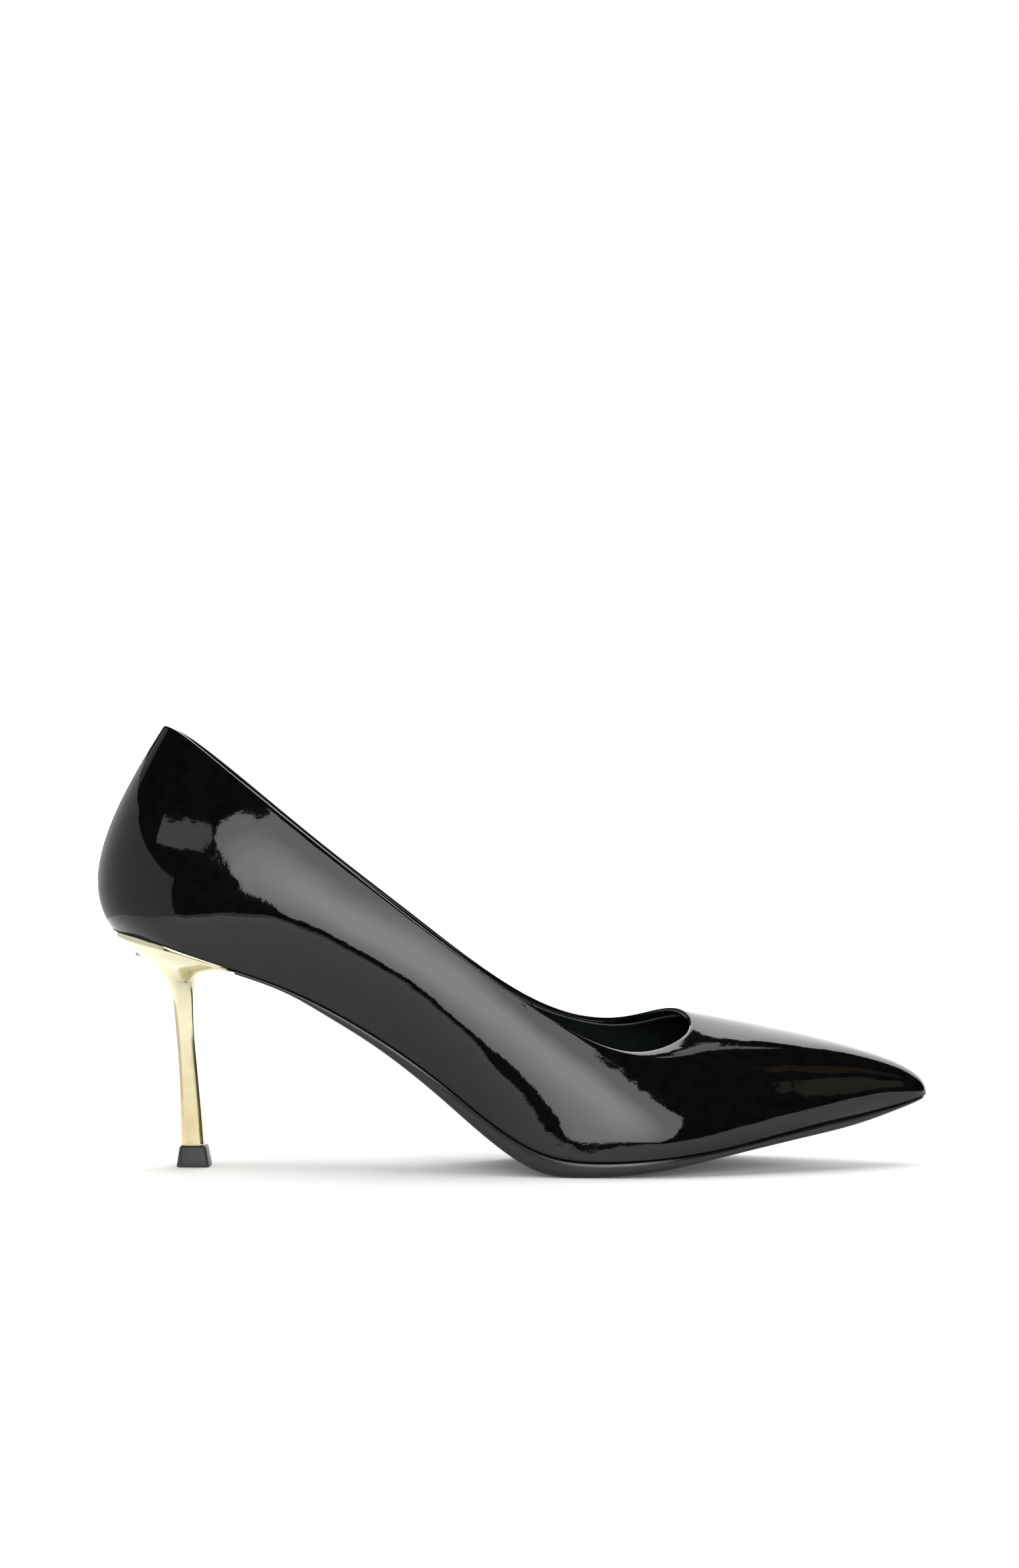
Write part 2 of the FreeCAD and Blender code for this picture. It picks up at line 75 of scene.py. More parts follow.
def curve_through(points):
    """Natural cubic curve y(x) through (x, y) points, for arrays of x."""
    xs, ys = np.array(points, float).T
    count = len(xs)
    step = np.diff(xs)
    matrix = np.eye(count)
    load = np.zeros(count)
    for i in range(1, count - 1):
        matrix[i, i - 1:i + 2] = step[i - 1], 2 * (step[i - 1] + step[i]), step[i]
        load[i] = 6 * ((ys[i + 1] - ys[i]) / step[i] - (ys[i] - ys[i - 1]) / step[i - 1])
    bend = np.linalg.solve(matrix, load)

    def value(x):
        x = np.asarray(x, float)
        i = np.clip(np.searchsorted(xs, x) - 1, 0, count - 2)
        inside_x = np.clip(x, xs[0], xs[-1])
        near, far, h = inside_x - xs[i], xs[i + 1] - inside_x, step[i]
        y = (bend[i] * far ** 3 + bend[i + 1] * near ** 3) / (6 * h)
        y = y + (ys[i] / h - bend[i] * h / 6) * far + (ys[i + 1] / h - bend[i + 1] * h / 6) * near
        first = (ys[1] - ys[0]) / step[0] - step[0] * bend[1] / 6
        last = (ys[-1] - ys[-2]) / step[-1] + step[-1] * bend[-2] / 6
        return y + np.where(x < xs[0], first * (x - xs[0]), 0) + np.where(x > xs[-1], last * (x - xs[-1]), 0)

    return value


def ring_through(values):
    """Closed smooth curve through values at equal steps of angle."""
    count = len(values)
    curve = curve_through([(k, values[k % count]) for k in range(-count, 2 * count + 1)])
    return lambda angle: curve(np.asarray(angle) / TURN * count % count)


def forward(angle):
    """Share of a ring's length reached at an angle."""
    return (1 - np.cos(angle)) / 2


def ring(back, front, lateral_y, medial_y, lateral_z, medial_z):
    """A closed control ring from its back and front points and seven stations on each side."""
    y_at = ring_through([back[1]] + [-y for y in lateral_y] + [front[1]] + medial_y[::-1])
    z_at = ring_through([back[2]] + lateral_z + [front[2]] + medial_z[::-1])

    def point(angle):
        return np.stack([back[0] + (front[0] - back[0]) * forward(angle), y_at(angle), z_at(angle)], -1)

    return point


feather_height = curve_through([
    (4.2, 70.6), (13, 69.0), (22, 66.6), (33, 62.8), (43, 59.4), (57, 54.2), (80, 42.3), (104, 25.8),
    (120, 13.6), (132, 7.2), (146, 4.9), (165, 5.6), (185, 8.0), (210, 13.0), (230, 17.0), (247.2, 21.0)])
lateral_fullness = curve_through([
    (4.2, 50), (14, 48), (40, 34.4), (60, 26.6), (80, 24), (102, 25.5), (126, 33.5),
    (148, 38), (172, 38.1), (190, 32.6), (212, 24.6), (236, 20.4), (247.2, 22)])
medial_fullness = curve_through([
    (4.2, 50), (14, 48), (40, 33.8), (60, 23.6), (80, 18.2), (102, 17), (126, 25),
    (148, 33.8), (172, 38), (190, 34), (212, 25), (236, 20.4), (247.2, 22)])
sole_height = curve_through([
    (42, 58.2), (58.6, 51.7), (68.6, 45.9), (81, 38.2), (93, 29.5), (102, 22.2), (111, 14.6), (117, 9.8),
    (124, 4.9), (131, 1.4), (138, 0.1), (146, 0), (156, 0.5), (167, 1.8), (182, 4.6), (210, 9.8),
    (226, 13.1), (238.5, 17.0), (247.2, 20.0)])


def feather(angle, inset=0.0, inward=0.0):
    """Points on the feather line; inset moves them in at right angles, inward pulls them to the axis."""
    angle = np.asarray(angle, float)
    x = SEAT_BACK_X + (TOE_TIP_X - SEAT_BACK_X) * forward(angle)
    sine = np.sin(angle)
    full = np.where(sine >= 0, lateral_fullness(x), medial_fullness(x))
    y = TOE_TIP_Y * (x / TOE_TIP_X) ** 3 - (full - inward) * sine
    x = x + inward * np.cos(angle)
    if np.any(inset):
        step = 0.002
        across = feather(angle + step) - feather(angle - step)
        length = np.hypot(across[..., 0], across[..., 1])
        x = x - inset * across[..., 1] / length
        y = y + inset * across[..., 0] / length
    return np.stack([x, y, feather_height(x)], -1)


lower_ring = ring(
    (-8.5, 0, 86), (250.0, 4.0, 33.0),
    [25.5, 30.1, 30.6, 32.3, 37.8, 24.5, 7.6], [25.5, 31, 26.5, 29, 37.6, 27, 12.5],
    [85, 77, 60, 32.6, 14.1, 15.3, 28.8], [85, 77.5, 60, 31, 14.5, 18, 30])
upper_ring = ring(
    (7.0, 0, 112), (205.0, 2.5, 40.5),
    [15, 26.3, 30.7, 30, 31.4, 29.5, 14.6], [15, 26.5, 28, 28, 32.5, 30.5, 18.5],
    [110, 97, 76.1, 55.9, 35.4, 29.9, 36], [110, 97, 78, 54, 36.5, 34.5, 41])
topline = ring(
    (TOPLINE_BACK_X, 0, 131.9), (THROAT_X, -3.0, 43.2),
    [11.5, 19.5, 23.5, 26.5, 28.8, 28.5, 16.5], [11.5, 19.5, 23, 25, 27, 27.5, 13.5],
    [129, 116, 95.6, 71.9, 50.0, 36.9, 37.9], [128.6, 115.2, 94.2, 70.8, 49.6, 42.8, 46.6])


def wall(angle, height):
    """Outer face of the upper: height 0 is the feather line, 1 the topline."""
    angle, height = np.broadcast_arrays(angle, height)
    t = height[..., None]
    low = 1 - t
    return (low ** 3 * feather(angle) + 3 * t * low ** 2 * lower_ring(angle)
            + 3 * t ** 2 * low * upper_ring(angle) + t ** 3 * topline(angle))


def inside(angle, height, depth):
    """Points at a depth under the outer face, measured along its normal."""
    step = 0.002
    along = wall(angle + step, height) - wall(angle - step, height)
    up = wall(angle, height + step) - wall(angle, height - step)
    normal = np.cross(up, along)
    normal /= np.linalg.norm(normal, axis=-1, keepdims=True)
    return wall(angle, height) + normal * np.asarray(depth)[..., None]


def height_below_topline(angle, distance):
    """Height at a distance below the topline, measured down the wall."""
    step = 0.01
    ones = np.ones_like(np.asarray(angle, float))
    length = np.linalg.norm(wall(angle, ones) - wall(angle, ones - step), axis=-1)
    return 1 - distance * step / length


# ---------------------------------------------------------------- mesh helpers
HEEL_REST_X = 28.25
MIDDLE_X = HEEL_REST_X - frame["record"]["mounts"][0]["pos_m"][0] / MM


def grid_mesh(name, points, close_u=False, close_v=False, materials=(), material_of_row=None):
    """Smooth quad mesh from an array of points [i][j] in last coordinates; rows may close on themselves."""
    rows, columns = points.shape[:2]
    flat = points.reshape(-1, 3) * MM
    flat[:, 0] -= MIDDLE_X * MM
    faces = []
    slots = []
    for i in range(rows if close_u else rows - 1):
        for j in range(columns if close_v else columns - 1):
            i2, j2 = (i + 1) % rows, (j + 1) % columns
            faces.append((i * columns + j, i * columns + j2, i2 * columns + j2, i2 * columns + j))
            slots.append(material_of_row[j] if material_of_row else 0)
    mesh = bpy.data.meshes.new(name)
    mesh.from_pydata(flat.tolist(), [], faces)
    mesh.polygons.foreach_set("use_smooth", [True] * len(faces))
    for material in materials:
        mesh.materials.append(material)
    mesh.polygons.foreach_set("material_index", slots)
    work = bmesh.new()
    work.from_mesh(mesh)
    bmesh.ops.remove_doubles(work, verts=work.verts, dist=1e-7)
    bmesh.ops.dissolve_degenerate(work, edges=work.edges, dist=1e-8)
    bmesh.ops.recalc_face_normals(work, faces=work.faces)
    work.to_mesh(mesh)
    work.free()
    mesh.update()
    piece = bpy.data.objects.new(name, mesh)
    bpy.context.scene.collection.objects.link(piece)
    return piece


def finish_piece(piece, slot, *nodes):
    """Attaches a piece to the root body and hides the CAD nodes it stands for; the slot argument is not used."""
    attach(piece, "root")
    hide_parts(*nodes)
    return piece


# ---------------------------------------------------------------- materials
def node_material(name):
    """A new material with its nodes, its links and its main shader."""
    material = bpy.data.materials.new(name)
    material.use_nodes = True
    nodes = material.node_tree.nodes
    return material, nodes, material.node_tree.links, nodes["Principled BSDF"]


def add_noise(nodes, links, scale, detail=3.0, roughness=0.5, distortion=0.0):
    """Noise in the object's own coordinates; scale is in waves per metre."""
    place = nodes.new("ShaderNodeTexCoord")
    noise = nodes.new("ShaderNodeTexNoise")
    noise.inputs["Scale"].default_value = scale
    noise.inputs["Detail"].default_value = detail
    noise.inputs["Roughness"].default_value = roughness
    noise.inputs["Distortion"].default_value = distortion
    links.new(place.outputs["Object"], noise.inputs["Vector"])
    return noise


def add_ramp(nodes, links, source, stops):
    """Colour ramp between two stops, each a position and a colour."""
    ramp = nodes.new("ShaderNodeValToRGB")
    for element, (position, colour) in zip(ramp.color_ramp.elements, stops):
        element.position = position
        element.color = (*colour, 1)
    links.new(source, ramp.inputs["Fac"])
    return ramp


def add_bump(nodes, links, height, distance, strength=1.0, onto=None):
    bump = nodes.new("ShaderNodeBump")
    bump.inputs["Distance"].default_value = distance
    bump.inputs["Strength"].default_value = strength
    links.new(height, bump.inputs["Height"])
    if onto is not None:
        links.new(onto.outputs["Normal"], bump.inputs["Normal"])
    return bump


def patent_leather():
    """Black leather under a clear, slightly wavy lacquer."""
    material, nodes, links, shader = node_material("patent_leather")
    tint = add_noise(nodes, links, 260, detail=4)
    colour = add_ramp(nodes, links, tint.outputs["Fac"],
                      ((0.35, (0.0016, 0.0016, 0.0018)), (0.7, (0.0034, 0.0033, 0.0036))))
    links.new(colour.outputs["Color"], shader.inputs["Base Color"])
    shader.inputs["Roughness"].default_value = 0.035
    shader.inputs["IOR"].default_value = 1.45
    waves = add_noise(nodes, links, 55, detail=2, distortion=0.4)
    ripple = add_noise(nodes, links, 420, detail=3, roughness=0.6)
    slow = add_bump(nodes, links, waves.outputs["Fac"], 0.00022)
    fine = add_bump(nodes, links, ripple.outputs["Fac"], 0.000012, onto=slow)
    links.new(fine.outputs["Normal"], shader.inputs["Normal"])
    return material


def lining_leather(name="lining_leather", dark=(0.0035, 0.0062, 0.0048), light=(0.0065, 0.0105, 0.0082)):
    """Very dark green leather with a fine pebbled grain."""
    material, nodes, links, shader = node_material(name)
    tint = add_noise(nodes, links, 180, detail=6)
    colour = add_ramp(nodes, links, tint.outputs["Fac"], ((0.3, dark), (0.72, light)))
    links.new(colour.outputs["Color"], shader.inputs["Base Color"])
    shader.inputs["Roughness"].default_value = 0.42
    place = nodes.new("ShaderNodeTexCoord")
    grain = nodes.new("ShaderNodeTexVoronoi")
    grain.inputs["Scale"].default_value = 1400
    links.new(place.outputs["Object"], grain.inputs["Vector"])
    bump = add_bump(nodes, links, grain.outputs["Distance"], 0.00005, 0.6)
    links.new(bump.outputs["Normal"], shader.inputs["Normal"])
    return material


def sole_leather():
    """Black finished sole leather, half gloss, with fine scuffs."""
    material, nodes, links, shader = node_material("sole_leather")
    tint = add_noise(nodes, links, 120, detail=7, roughness=0.6)
    colour = add_ramp(nodes, links, tint.outputs["Fac"],
                      ((0.35, (0.003, 0.003, 0.003)), (0.75, (0.007, 0.007, 0.007))))
    links.new(colour.outputs["Color"], shader.inputs["Base Color"])
    wear = add_ramp(nodes, links, tint.outputs["Fac"], ((0.3, (0.2, 0.2, 0.2)), (0.8, (0.34, 0.34, 0.34))))
    links.new(wear.outputs["Color"], shader.inputs["Roughness"])
    grain = add_noise(nodes, links, 1500, detail=2)
    bump = add_bump(nodes, links, grain.outputs["Fac"], 0.00002)
    links.new(bump.outputs["Normal"], shader.inputs["Normal"])
    return material


def gold_plating():
    """Champagne gold electroplate on moulded plastic, with painted shade that makes the stem darker and warmer
    towards the ground.
    """
    material, nodes, links, shader = node_material("gold_plating")
    tint = add_noise(nodes, links, 90, detail=2)
    pale = add_ramp(nodes, links, tint.outputs["Fac"], ((0.3, (0.74, 0.70, 0.49)), (0.7, (0.78, 0.74, 0.54))))
    warm_painted_shade = add_ramp(nodes, links, tint.outputs["Fac"], ((0.3, (0.66, 0.57, 0.33)), (0.7, (0.70, 0.61, 0.37))))
    place = nodes.new("ShaderNodeTexCoord")
    parts = nodes.new("ShaderNodeSeparateXYZ")
    links.new(place.outputs["Object"], parts.inputs[0])
    height = nodes.new("ShaderNodeMapRange")
    height.inputs["From Min"].default_value = 0.012
    height.inputs["From Max"].default_value = 0.06
    links.new(parts.outputs["Z"], height.inputs["Value"])
    # Painted shade: from 60 mm down to 12 mm above the ground the colour turns darker and warmer.
    blend = nodes.new("ShaderNodeMix")
    blend.data_type = "RGBA"
    links.new(height.outputs["Result"], blend.inputs["Factor"])
    links.new(warm_painted_shade.outputs["Color"], blend.inputs["A"])
    links.new(pale.outputs["Color"], blend.inputs["B"])
    links.new(blend.outputs["Result"], shader.inputs["Base Color"])
    shader.inputs["Metallic"].default_value = 1.0
    shader.inputs["Roughness"].default_value = 0.12
    waves = add_noise(nodes, links, 110, detail=1)
    bump = add_bump(nodes, links, waves.outputs["Fac"], 0.00006)
    links.new(bump.outputs["Normal"], shader.inputs["Normal"])
    return material


def grained(name, dark, light, roughness, scale, depth, metallic=0.0):
    """A plain material with a grain: board, felt, foam, rubber-like plastic or steel."""
    material, nodes, links, shader = node_material(name)
    tint = add_noise(nodes, links, scale, detail=6, roughness=0.65)
    colour = add_ramp(nodes, links, tint.outputs["Fac"], ((0.3, dark), (0.7, light)))
    links.new(colour.outputs["Color"], shader.inputs["Base Color"])
    shader.inputs["Roughness"].default_value = roughness
    shader.inputs["Metallic"].default_value = metallic
    bump = add_bump(nodes, links, tint.outputs["Fac"], depth)
    links.new(bump.outputs["Normal"], shader.inputs["Normal"])
    return material


PATENT = patent_leather()
LINING = lining_leather()
CUT_EDGE = lining_leather("lining_cut_edge", (0.10, 0.14, 0.12), (0.2, 0.25, 0.22))
SOLE = sole_leather()
# Near-black matte for the line where upper meets sole: the edge paint, darkened further as painted shade for the
# crease.
INK_AND_CREASE_SHADE = grained("edge_ink_and_crease_shade", (0.0008, 0.0008, 0.0008), (0.0016, 0.0016, 0.0016), 0.7, 600, 0.00002)
GOLD = gold_plating()
LIFT = grained("lift_plastic", (0.012, 0.012, 0.013), (0.022, 0.022, 0.023), 0.5, 900, 0.00003)
TAPE = grained("woven_tape", (0.5, 0.48, 0.43), (0.66, 0.63, 0.57), 0.85, 1600, 0.00008)
STIFFENER = grained("fibre_stiffener", (0.42, 0.37, 0.3), (0.6, 0.54, 0.44), 0.8, 700, 0.00006)
BOARD = grained("insole_board", (0.32, 0.24, 0.17), (0.46, 0.36, 0.26), 0.8, 800, 0.00005)
SHANK_BOARD = grained("shank_board", (0.2, 0.16, 0.12), (0.32, 0.26, 0.2), 0.75, 800, 0.00005)
STEEL = grained("spring_steel", (0.42, 0.43, 0.45), (0.6, 0.61, 0.62), 0.3, 1200, 0.00001, 1.0)
FELT = grained("felt_filler", (0.22, 0.2, 0.18), (0.36, 0.33, 0.3), 0.95, 1100, 0.0001)
FOAM = grained("cushion_foam", (0.7, 0.66, 0.55), (0.85, 0.82, 0.72), 0.9, 1300, 0.0001)


# ---------------------------------------------------------------- upper
def build_upper():
    """One piece of patent leather: outer wall, rolled topline edge, folded band and lasting margin."""
    around = 720
    angle = np.arange(around) / around * TURN
    roll = FOLD_THICK / 2
    crown = height_below_topline(angle, roll)
    band = height_below_topline(angle, FOLD_WIDTH)
    columns = []
    margin_steps, wall_steps, roll_steps = 6, 90, 12
    feather_edge = wall(angle, np.zeros(around))
    margin_edge = feather(angle, inward=LASTING_MARGIN)
    for j in range(margin_steps):
        columns.append(margin_edge + (feather_edge - margin_edge) * j / margin_steps)
    for j in range(wall_steps):
        share = j / wall_steps
        columns.append(wall(angle, crown * share ** 1.15))
    for j in range(roll_steps + 1):
        turn = math.pi * j / roll_steps
        height = crown + (1 - crown) * math.sin(turn)
        columns.append(inside(angle, height, np.full(around, roll * (1 - math.cos(turn)))))
    for share, depth in ((0.3, 1), (0.6, 1), (0.9, 1), (0.97, 0.97), (1.0, 0.88)):
        columns.append(inside(angle, crown + (band - crown) * share, np.full(around, FOLD_THICK * depth)))
    for share in (1.0, 0.6, 0.3, 0.0):
        columns.append(inside(angle, band * share, np.full(around, UPPER_THICK)))
    columns.append(margin_edge + np.array([0, 0, UPPER_THICK]))
    # The rows around the feather line take the near-black matte: edge paint plus painted crease shade.
    inked_and_shaded = range(margin_steps - 1, margin_steps + 2)
    rows = [1 if j in inked_and_shaded else 0 for j in range(len(columns))]
    piece = grid_mesh("upper_leather", np.stack(columns, 1), close_u=True, close_v=True,
                      materials=[PATENT, INK_AND_CREASE_SHADE], material_of_row=rows)
    return finish_piece(piece, "patent_leather", "upper")


def build_lining(name, start, end, node):
    """A lining panel with its cut edge showing along the folded band."""
    outer = UPPER_THICK + STIFFENER_THICK + 2 * LAYER_GAP
    inner = outer + LINING_THICK
    count = max(8, round((end - start) / 360 * 480))
    angle = np.radians(np.linspace(start, end, count + 1))
    edge_gap = 0.1
    top = height_below_topline(angle, FOLD_WIDTH + edge_gap)
    steps = 60
    soft = 0.18
    just_below = 0.995
    columns = []
    rows = []
    for j in range(steps + 1):
        height = LOWER_EDGE + (top - LOWER_EDGE) * j / steps * just_below
        columns.append(inside(angle, height, np.full(count + 1, inner)))
        rows.append(0)
    columns.append(inside(angle, top, np.full(count + 1, inner - soft)))
    rows.append(1)
    columns.append(inside(angle, top, np.full(count + 1, outer + soft)))
    rows.append(1)
    columns.append(inside(angle, top * 0.998, np.full(count + 1, outer)))
    rows.append(0)
    for share in (0.66, 0.33, 0.0):
        columns.append(inside(angle, LOWER_EDGE + (top - LOWER_EDGE) * share, np.full(count + 1, outer)))
        rows.append(0)
    piece = grid_mesh(name, np.stack(columns, 1), close_v=True, materials=[LINING, CUT_EDGE], material_of_row=rows)
    return finish_piece(piece, "lining_leather", node)


# ---------------------------------------------------------------- bottom of the shoe
def cross_sheet(name, ring_at, low, high, material):
    """Sheet between the two sides of an outline; low and high give its faces' heights over the last."""
    rows, across = 260, 40
    angle = np.linspace(0, math.pi, rows)
    left, right = ring_at(angle), ring_at(TURN - angle)
    share = (1 - np.cos(np.linspace(0, math.pi, across))) / 2
    flat = left[:, None, :2] * (1 - share[None, :, None]) + right[:, None, :2] * share[None, :, None]
    x = flat[..., 0]
    upper_face, lower_face = [np.concatenate([flat, height(x)[..., None]], -1) for height in (high, low)]
    points = np.concatenate([upper_face, lower_face[:, ::-1]], 1)
    return grid_mesh(name, points, close_v=True, materials=[material])


def over_last(shift):
    """Height curve a distance above the bottom of the last, measured square to it."""
    def height(x):
        slope = feather_height(x + 0.5) - feather_height(x - 0.5)
        return feather_height(x) + shift * np.hypot(1, slope)
    return height


def build_insock():
    """Foam over the insole boards, and the leather sock that covers it."""
    board_top = UPPER_THICK + LAYER_GAP + BOARD_THICK
    foam_top = board_top + FOAM_THICK
    sock_gap = 0.1
    depth = UPPER_THICK + STIFFENER_THICK + LINING_THICK + 4 * LAYER_GAP + sock_gap

    def ring_at(angle):
        return inside(angle, np.full_like(angle, LOWER_EDGE), np.full_like(angle, depth))

    foam = cross_sheet("insock_foam_layer", ring_at, over_last(board_top + FIT_GAP),
                       over_last(foam_top - FIT_GAP), FOAM)
    finish_piece(foam, "foam", "insock_foam")
    sock = cross_sheet("insock_leather", ring_at, over_last(foam_top), over_last(foam_top + INSOCK_THICK), LINING)
    finish_piece(sock, "lining_leather", "insock")


def build_outsole():
    """Thin sole with an upright edge, a rounded bevel below it and a flat tread."""
    rows, across, bevel = 420, 30, 8
    start = math.acos(1 - 2 * (HEEL_LIP_X - SEAT_BACK_X) / (TOE_TIP_X - SEAT_BACK_X))
    angle = np.linspace(start, math.pi, rows)
    sides = []
    upright = 0.55
    # share of the groove's depth, share of the edge below it, and inset from the feather line
    profile = [(0.0, 0.0, 1.9), (0.5, 0.0, 1.8), (1.0, 0.0, 1.4), (1.0, 0.01, 0.9), (1.0, 0.03, 0.62),
               (1.0, 0.08, SOLE_INSET), (1.0, 0.3, SOLE_INSET), (1.0, upright, SOLE_INSET)]
    for k in range(1, bevel + 1):
        turn = math.pi / 2 * k / bevel
        inset = SOLE_INSET + SOLE_BEVEL * (1 - math.cos(turn))
        profile.append((1.0, upright + (1 - upright) * math.sin(turn), inset))
    for sign in (1, -1):
        loops = []
        for sunk, down, inset in profile:
            edge = feather(angle * sign, inset=inset)
            x = edge[:, 0]
            top, bottom = feather_height(x) + FIT_GAP, sole_height(x)
            groove = np.minimum(GROOVE, (top - bottom) / 4)
            height = top - groove * sunk - (top - groove - bottom) * down
            loops.append(np.stack([x, edge[:, 1], height], -1))
        sides.append(loops)
    share = np.linspace(0, 1, across)[1:-1]
    left, right = sides[0][-1], sides[1][-1]
    tread = [left * (1 - s) + right * s for s in share]
    top_left, top_right = sides[0][0], sides[1][0]
    deck = [top_right * (1 - s) + top_left * s for s in share]
    columns = sides[0] + tread + sides[1][::-1] + deck
    points = np.stack(columns, 1)
    # close the back end at the heel's lip
    centre = points[0].mean(0)
    caps = [centre + (points[0] - centre) * s for s in (0.0, 0.5, 1.0)]
    points = np.concatenate([np.stack(caps), points[1:]], 0)
    last = len(profile) + len(tread) + len(profile) - 1
    # The groove rows take the same near-black matte: edge paint plus painted crease shade.
    inked_and_shaded = [0, 1, 2, last - 3, last - 2, last - 1]
    rows = [1 if j in inked_and_shaded else 0 for j in range(len(columns))]
    piece = grid_mesh("outsole_leather", points, close_v=True, materials=[SOLE, INK_AND_CREASE_SHADE], material_of_row=rows)
    return finish_piece(piece, "sole_leather", "outsole")


# ---------------------------------------------------------------- heel
# Sections from the top lift to the seat: back x, back z, front x, front z, half width, and how
# square the back and the front of the section are (2 is an ellipse).
HEEL_SECTIONS = np.array((
    (24.4, 6.1, 31.7, 6.1, 4.6, 4.5, 4.5),
    (24.2, 16.0, 30.9, 16.0, 4.3, 4.5, 4.5),
    (23.8, 28.0, 29.8, 28.0, 4.1, 4.5, 4.5),
    (23.1, 38.0, 28.9, 38.0, 4.1, 4.5, 4.5),
    (22.4, 46.0, 28.6, 46.0, 4.4, 4.2, 4.2),
    (21.8, 50.5, 28.6, 51.6, 5.2, 3.6, 4.0),
    (20.4, 54.6, 29.1, 55.0, 7.0, 3.0, 3.8),
    (18.0, 57.9, 31.2, 56.9, 10.2, 2.6, 3.8),
    (13.5, 61.9, 36.0, 57.6, 15.4, 2.3, 4.5),
    (8.6, 65.7, 40.2, 58.0, 19.8, 2.2, 6.0),
    (5.2, 69.3, 42.0, 58.6, 22.6, 2.2, 8.0)))


def heel_loop(section, count=160):
    """Closed outline of a heel section; its back and front corners have their own squareness."""
    back_x, back_z, front_x, front_z, half_width, back_square, front_square = section
    angle = (np.arange(count) + 0.5) / count * TURN
    cosine, sine = np.cos(angle), np.sin(angle)
    power = np.where(cosine > 0, 2 / front_square, 2 / back_square)
    along = np.sign(cosine) * np.abs(cosine) ** power
    across = np.sign(sine) * np.abs(sine) ** power
    x = (back_x + front_x) / 2 + (front_x - back_x) / 2 * along
    z = (back_z + front_z) / 2 + (front_z - back_z) / 2 * along
    return np.stack([x, half_width * across, z], -1)


def build_heel():
    """Stem and flared cup in one skin, closed on the seat and under the stem."""
    place = np.concatenate([[0], np.cumsum(np.linalg.norm(np.diff(HEEL_SECTIONS[:, :4], axis=0), axis=1))])
    curves = [curve_through(list(zip(place, HEEL_SECTIONS[:, k]))) for k in range(7)]
    loops = [heel_loop([c(s) for c in curves]) for s in np.linspace(0, place[-1], 90)]
    rim = loops[-1]
    seat = rim.copy()
    seat[:, 2] = feather_height(seat[:, 0]) - 0.3
    loops += [rim + (seat - rim) * s for s in (0.33, 0.66, 1.0)]
    middle = seat.mean(0)
    for inset in (0.985, 0.7, 0.4, 0.0):
        cap = middle + (seat - middle) * inset
        cap[:, 2] = feather_height(cap[:, 0]) - FIT_GAP
        loops.append(cap)
    foot = loops[0]
    under = foot.mean(0)
    rounding = 0.25
    base = [under + (foot - under) * s for s in (0.0, 0.5, 0.93)]
    loops = base + [foot + np.array([0, 0, rounding])] + loops[1:]
    points = np.stack(loops, 0)
    piece = grid_mesh("heel_body", points, close_v=True, materials=[GOLD])
    return finish_piece(piece, "gold_plated_heel", "heel")


def build_top_lift():
    """Wearing block under the stem, flared towards the ground, with slightly rounded rims."""
    square = 7.0
    top_z = LIFT_HEIGHT - FIT_GAP
    top = np.array((24.1, top_z, 32.2, top_z, 4.9, square, square))
    bottom = np.array((23.2, 0, 33.3, 0, 5.6, square, square))

    def level(share, inset):
        section = bottom + (top - bottom) * share
        section[0] += inset
        section[2] -= inset
        section[4] -= inset
        return heel_loop(section, 96)

    # share of the height, and inset in millimetres
    stops = [(0.0, 4.0), (0.0, 0.25), (0.02, 0.08), (0.06, 0.0), (0.3, 0.0), (0.6, 0.0), (0.94, 0.0),
             (0.985, 0.1), (1.0, 0.3), (1.0, 3.6)]
    points = np.stack([level(share, inset) for share, inset in stops], 0)
    first, last = [np.broadcast_to(points[k].mean(0), points[:1].shape) for k in (0, -1)]
    points = np.concatenate([first, points, last], 0)
    piece = grid_mesh("top_lift_block", points, close_v=True, materials=[LIFT])
    return finish_piece(piece, "lift_plastic", "top_lift")


# ---------------------------------------------------------------- pieces inside, kept as designed
HIDDEN = {
    "topline_tape": TAPE, "heel_counter": STIFFENER, "interlining_lateral": TAPE, "interlining_medial": TAPE,
    "vamp_interlining": TAPE, "toe_puff": STIFFENER, "insole_board": BOARD, "shank_board": SHANK_BOARD,
    "shank": STEEL, "shank_rivets": STEEL, "bottom_filler": FELT, "heel_pin": STEEL, "top_lift_pin": STEEL,
    "heel_screw": STEEL, "heel_nails": STEEL}


def dress_hidden():
    """Gives the pieces inside the shoe their materials."""
    for name, material in HIDDEN.items():
        node = frame["nodes"][name]
        node.data.materials.clear()
        node.data.materials.append(material)


# ---------------------------------------------------------------- floor, light and camera, in metres
TABLE_FRONT = -0.56
JUST_BELOW_GROUND = -0.00002
PANEL_Y = -1.3
WALL_X = -0.27


def plane(name, corners, material):
    """A flat card in metres, from its corners."""
    mesh = bpy.data.meshes.new(name)
    mesh.from_pydata([tuple(c) for c in corners], [], [tuple(range(len(corners)))])
    mesh.materials.append(material)
    card = bpy.data.objects.new(name, mesh)
    bpy.context.scene.collection.objects.link(card)
    return card


